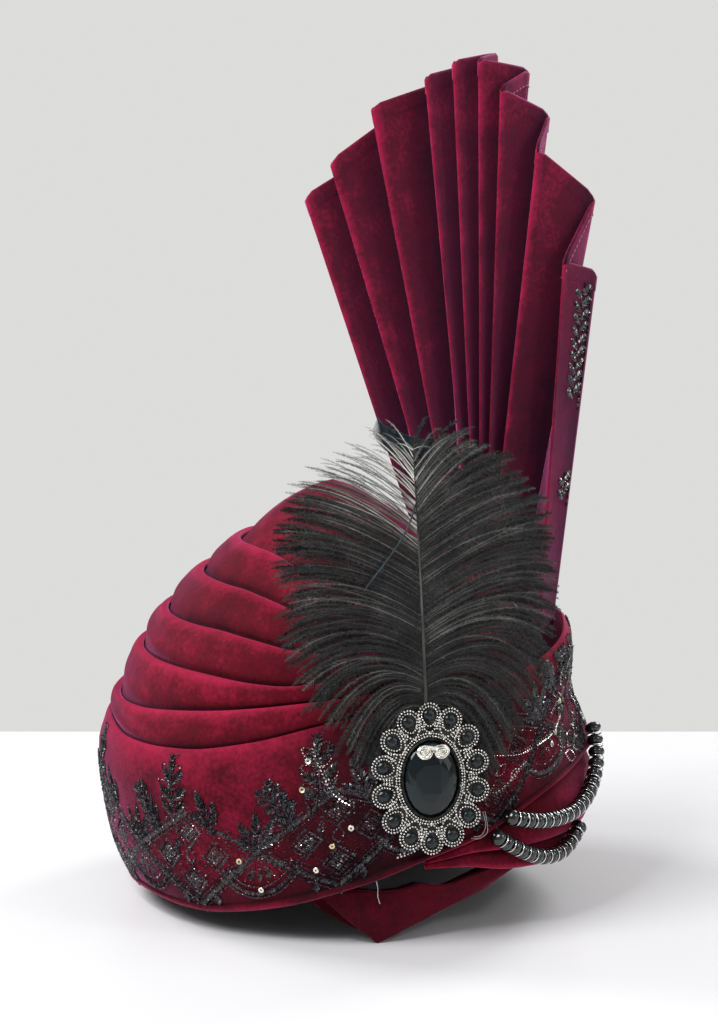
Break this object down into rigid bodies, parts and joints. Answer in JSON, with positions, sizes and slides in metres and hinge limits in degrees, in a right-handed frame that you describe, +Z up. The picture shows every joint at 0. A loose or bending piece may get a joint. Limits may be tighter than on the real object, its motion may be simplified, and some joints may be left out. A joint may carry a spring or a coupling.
{
  "type": "tied turban pagri",
  "caption": "Tied turban of folded velvet over a hollow cap, with a pleated fan, an embroidered brow band, a plume, an oval jewelled brooch and bead strings.",
  "frame": {"origin": "middle of the whole part's outline, on the surface the turban stands on", "axes": "+Z up along the fan, front with the brooch towards -Y, wearer's left with the fan's foot towards +X"},
  "size_m": [0.2748, 0.2988, 0.47],
  "materials": {
    "velvet": "deep pile velvet",
    "embroidered_velvet": "velvet with dark thread, bead and sequin embroidery",
    "lining": "matt lining cloth",
    "plume": "soft feather barbs",
    "dark_feather": "smooth, slightly glossy feather",
    "setting": "antiqued silver with beaded wire",
    "stones": "polished, faceted",
    "bow": "pale plated",
    "beads": "polished, metallic coat"
  },
  "bodies": {
    "root": {"cap": "lining", "crest_sheet": "velvet", "brow_band": "embroidered_velvet", "right_fold_1": "velvet", "right_fold_2": "velvet", "right_fold_3": "velvet", "right_fold_4": "velvet", "right_fold_5": "velvet", "left_fold_1": "velvet", "left_fold_2": "velvet", "left_wrap_upper": "velvet", "left_wrap_lower": "velvet", "tucked_end": "velvet", "fan": "velvet", "plume": "plume", "small_feather": "dark_feather", "bead_string_upper": "beads", "bead_string_lower": "beads", "brooch_setting": "setting", "brooch_stone": "stones", "brooch_bow": "bow", "petal_stone_1": "stones", "petal_stone_2": "stones", "petal_stone_3": "stones", "petal_stone_4": "stones", "petal_stone_5": "stones", "petal_stone_6": "stones", "petal_stone_7": "stones", "petal_stone_8": "stones", "petal_stone_9": "stones", "petal_stone_10": "stones", "petal_stone_11": "stones", "petal_stone_12": "stones", "petal_stone_13": "stones", "petal_stone_14": "stones"}
  },
  "joints": []
}
